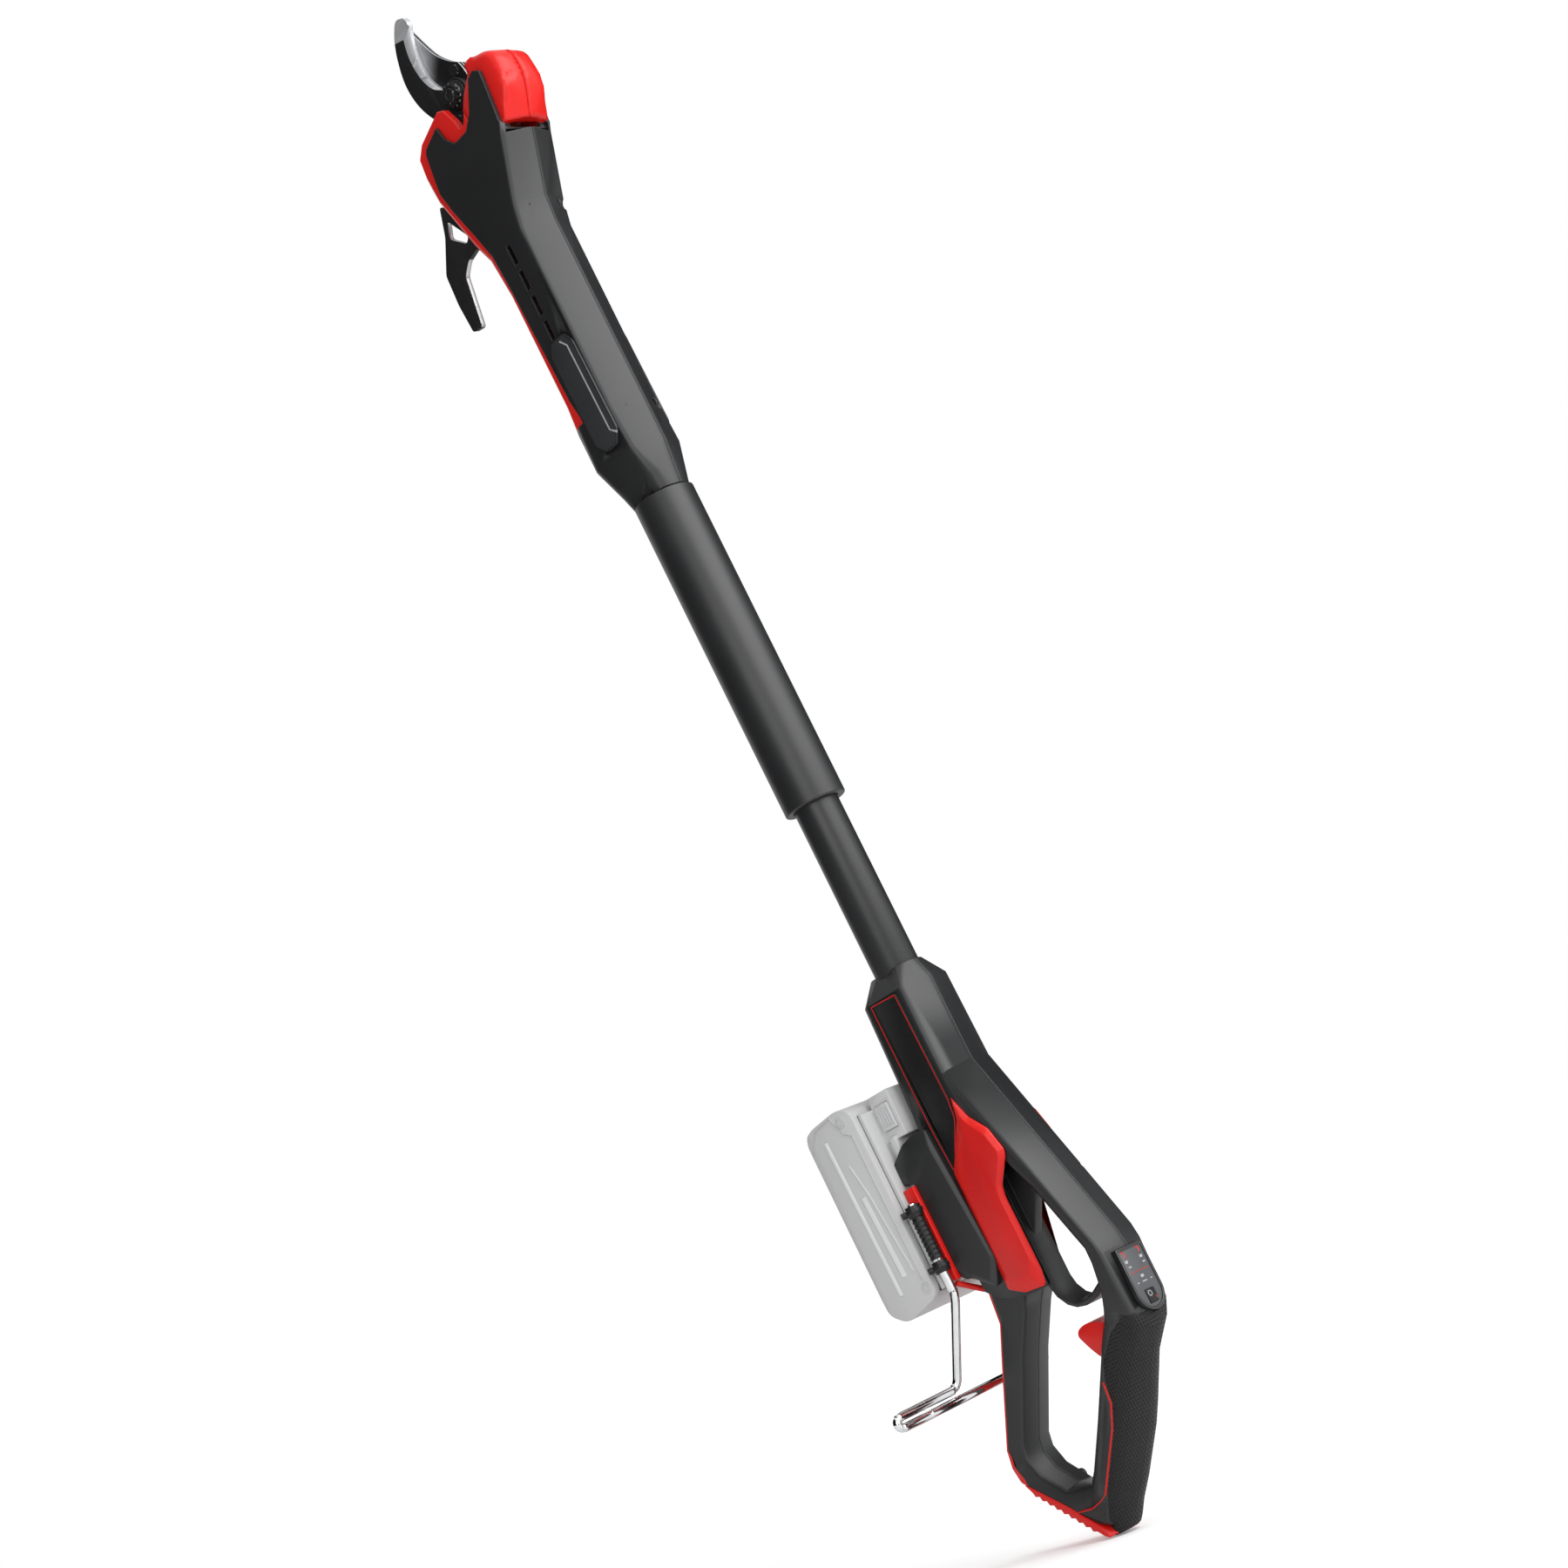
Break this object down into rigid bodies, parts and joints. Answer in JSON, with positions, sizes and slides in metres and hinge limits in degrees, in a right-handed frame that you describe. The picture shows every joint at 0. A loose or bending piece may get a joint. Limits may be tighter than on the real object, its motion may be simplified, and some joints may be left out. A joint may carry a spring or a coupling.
{
  "type": "pole pruner",
  "caption": "Battery pole pruner: powered bypass blades on a long tube, hook for pulling branches, D-shaped rear handle with trigger and guard, slide-on battery and folding hanging hook.",
  "frame": {"origin": "on the pole's axis, half way along its bare stretch, where a strap clamp goes", "axes": "+Z along the pole towards the blades, +X towards the side with the control panel, +Y to the right seen from the handle"},
  "size_m": [0.141, 0.1271, 0.9236],
  "materials": {
    "black_shell": "fine grain",
    "red_plastic": "satin",
    "dark_trim": "satin",
    "tube_coat": "satin",
    "blade_steel": "brushed, black coated on the flats",
    "steel": "satin",
    "dark_steel": "blackened",
    "aluminium": "machined",
    "brass": "machined",
    "copper_wire": "enamelled",
    "rubber": "knurled",
    "chrome": "polished",
    "pack_plastic": "pale, frosted",
    "cell_sleeve": "film",
    "board": "lacquered",
    "panel": "satin film",
    "lead_sleeve": "soft"
  },
  "bodies": {
    "tool": {"pole_tube": "tube_coat", "grip_sleeve": "black_shell", "wire_harness": "lead_sleeve", "head_shell_left": "black_shell", "head_shell_right": "black_shell", "head_cap_left": "red_plastic", "head_cap_right": "red_plastic", "head_trim": "red_plastic", "badge_left": "dark_trim", "badge_right": "dark_trim", "head_screws": "steel", "fixed_blade": "blade_steel", "pivot_bolt": "dark_steel", "lock_nut": "dark_steel", "blade_screw": "dark_steel", "blade_carrier": "aluminium", "screw_bearings": "steel", "gearbox_case": "aluminium", "motor_case": "aluminium", "branch_hook": "dark_steel", "branch_hook_screws": "steel", "rear_shell_left": "black_shell", "rear_shell_right": "black_shell", "side_plate_left": "red_plastic", "side_plate_right": "red_plastic", "label_panel_left": "dark_trim", "label_panel_right": "dark_trim", "dock_left": "black_shell", "dock_right": "black_shell", "dock_lining": "red_plastic", "terminal_block": "dark_trim", "column_trim": "red_plastic", "foot_pad": "red_plastic", "grip_cover": "rubber", "grip_line": "red_plastic", "trigger_guard": "black_shell", "trigger_pin": "steel", "trigger_spring": "steel", "trigger_switch": "dark_trim", "control_board": "board", "panel_bezel": "dark_trim", "panel_face": "panel", "hook_clamps": "dark_trim", "hook_sleeve": "dark_trim", "rear_screws": "steel"},
    "blade": {"moving_blade": "blade_steel", "drive_pin": "steel"},
    "link": {"drive_link": "aluminium"},
    "carriage": {"screw_nut": "brass"},
    "screw": {"ball_screw": "steel"},
    "rotor": {"motor_rotor": "copper_wire"},
    "trigger": {"trigger": "red_plastic"},
    "button": {"power_button": "dark_trim"},
    "battery": {"battery_case": "pack_plastic", "battery_cover": "pack_plastic", "battery_cells": "cell_sleeve", "release_spring": "steel"},
    "latch": {"release_button": "pack_plastic"},
    "hook": {"wire_hook": "chrome"}
  },
  "joints": [
    {"name": "motor_spin", "type": "hinge", "parent": "tool", "child": "rotor", "pos_m": [0.002, 0, 0.34], "axis": [0, 0, 1], "range_deg": [0, 1336]},
    {"name": "screw_spin", "type": "hinge", "parent": "tool", "child": "screw", "pos_m": [0.002, 0, 0.44], "axis": [0, 0, 1], "range_deg": [0, 449]},
    {"name": "nut_slide", "type": "slide", "parent": "tool", "child": "carriage", "axis": [0, 0, -1], "range_m": [0, 0.00743]},
    {"name": "blade_pivot", "type": "hinge", "parent": "tool", "child": "blade", "pos_m": [-0.002, 0, 0.502], "axis": [0, 1, 0], "range_deg": [0, 40.2]},
    {"name": "link_hinge", "type": "hinge", "parent": "blade", "child": "link", "pos_m": [0.0015, 0.008, 0.516], "axis": [0, -1, 0], "range_deg": [0, 29.9]},
    {"name": "trigger_pull", "type": "hinge", "parent": "tool", "child": "trigger", "pos_m": [0.0386, 0, -0.2556], "axis": [0, -1, 0], "range_deg": [0, 8], "stiffness_Nm_per_rad": 1.2, "springref_deg": -1.15},
    {"name": "power_press", "type": "slide", "parent": "tool", "child": "button", "axis": [-1, 0, 0], "range_m": [0, 0.0006], "stiffness_N_per_m": 900},
    {"name": "battery_slide", "type": "slide", "parent": "tool", "child": "battery", "axis": [0, 0, 1], "range_m": [0, 0.09]},
    {"name": "release_press", "type": "slide", "parent": "battery", "child": "latch", "axis": [0, 1, 0], "range_m": [0, 0.003], "stiffness_N_per_m": 700},
    {"name": "hook_fold", "type": "hinge", "parent": "tool", "child": "hook", "pos_m": [-0.034, -0.034, -0.18], "axis": [0, 0, 1], "range_deg": [0, 90]}
  ],
  "couplings": [
    {"joint": "screw_spin", "follows": "motor_spin", "ratio": 0.33333},
    {"joint": "nut_slide", "follows": "motor_spin", "m_per_rad": 0.00031831},
    {"joint": "blade_pivot", "follows": "motor_spin", "ratio": 0.02995},
    {"joint": "link_hinge", "follows": "motor_spin", "ratio": 0.022164}
  ]
}
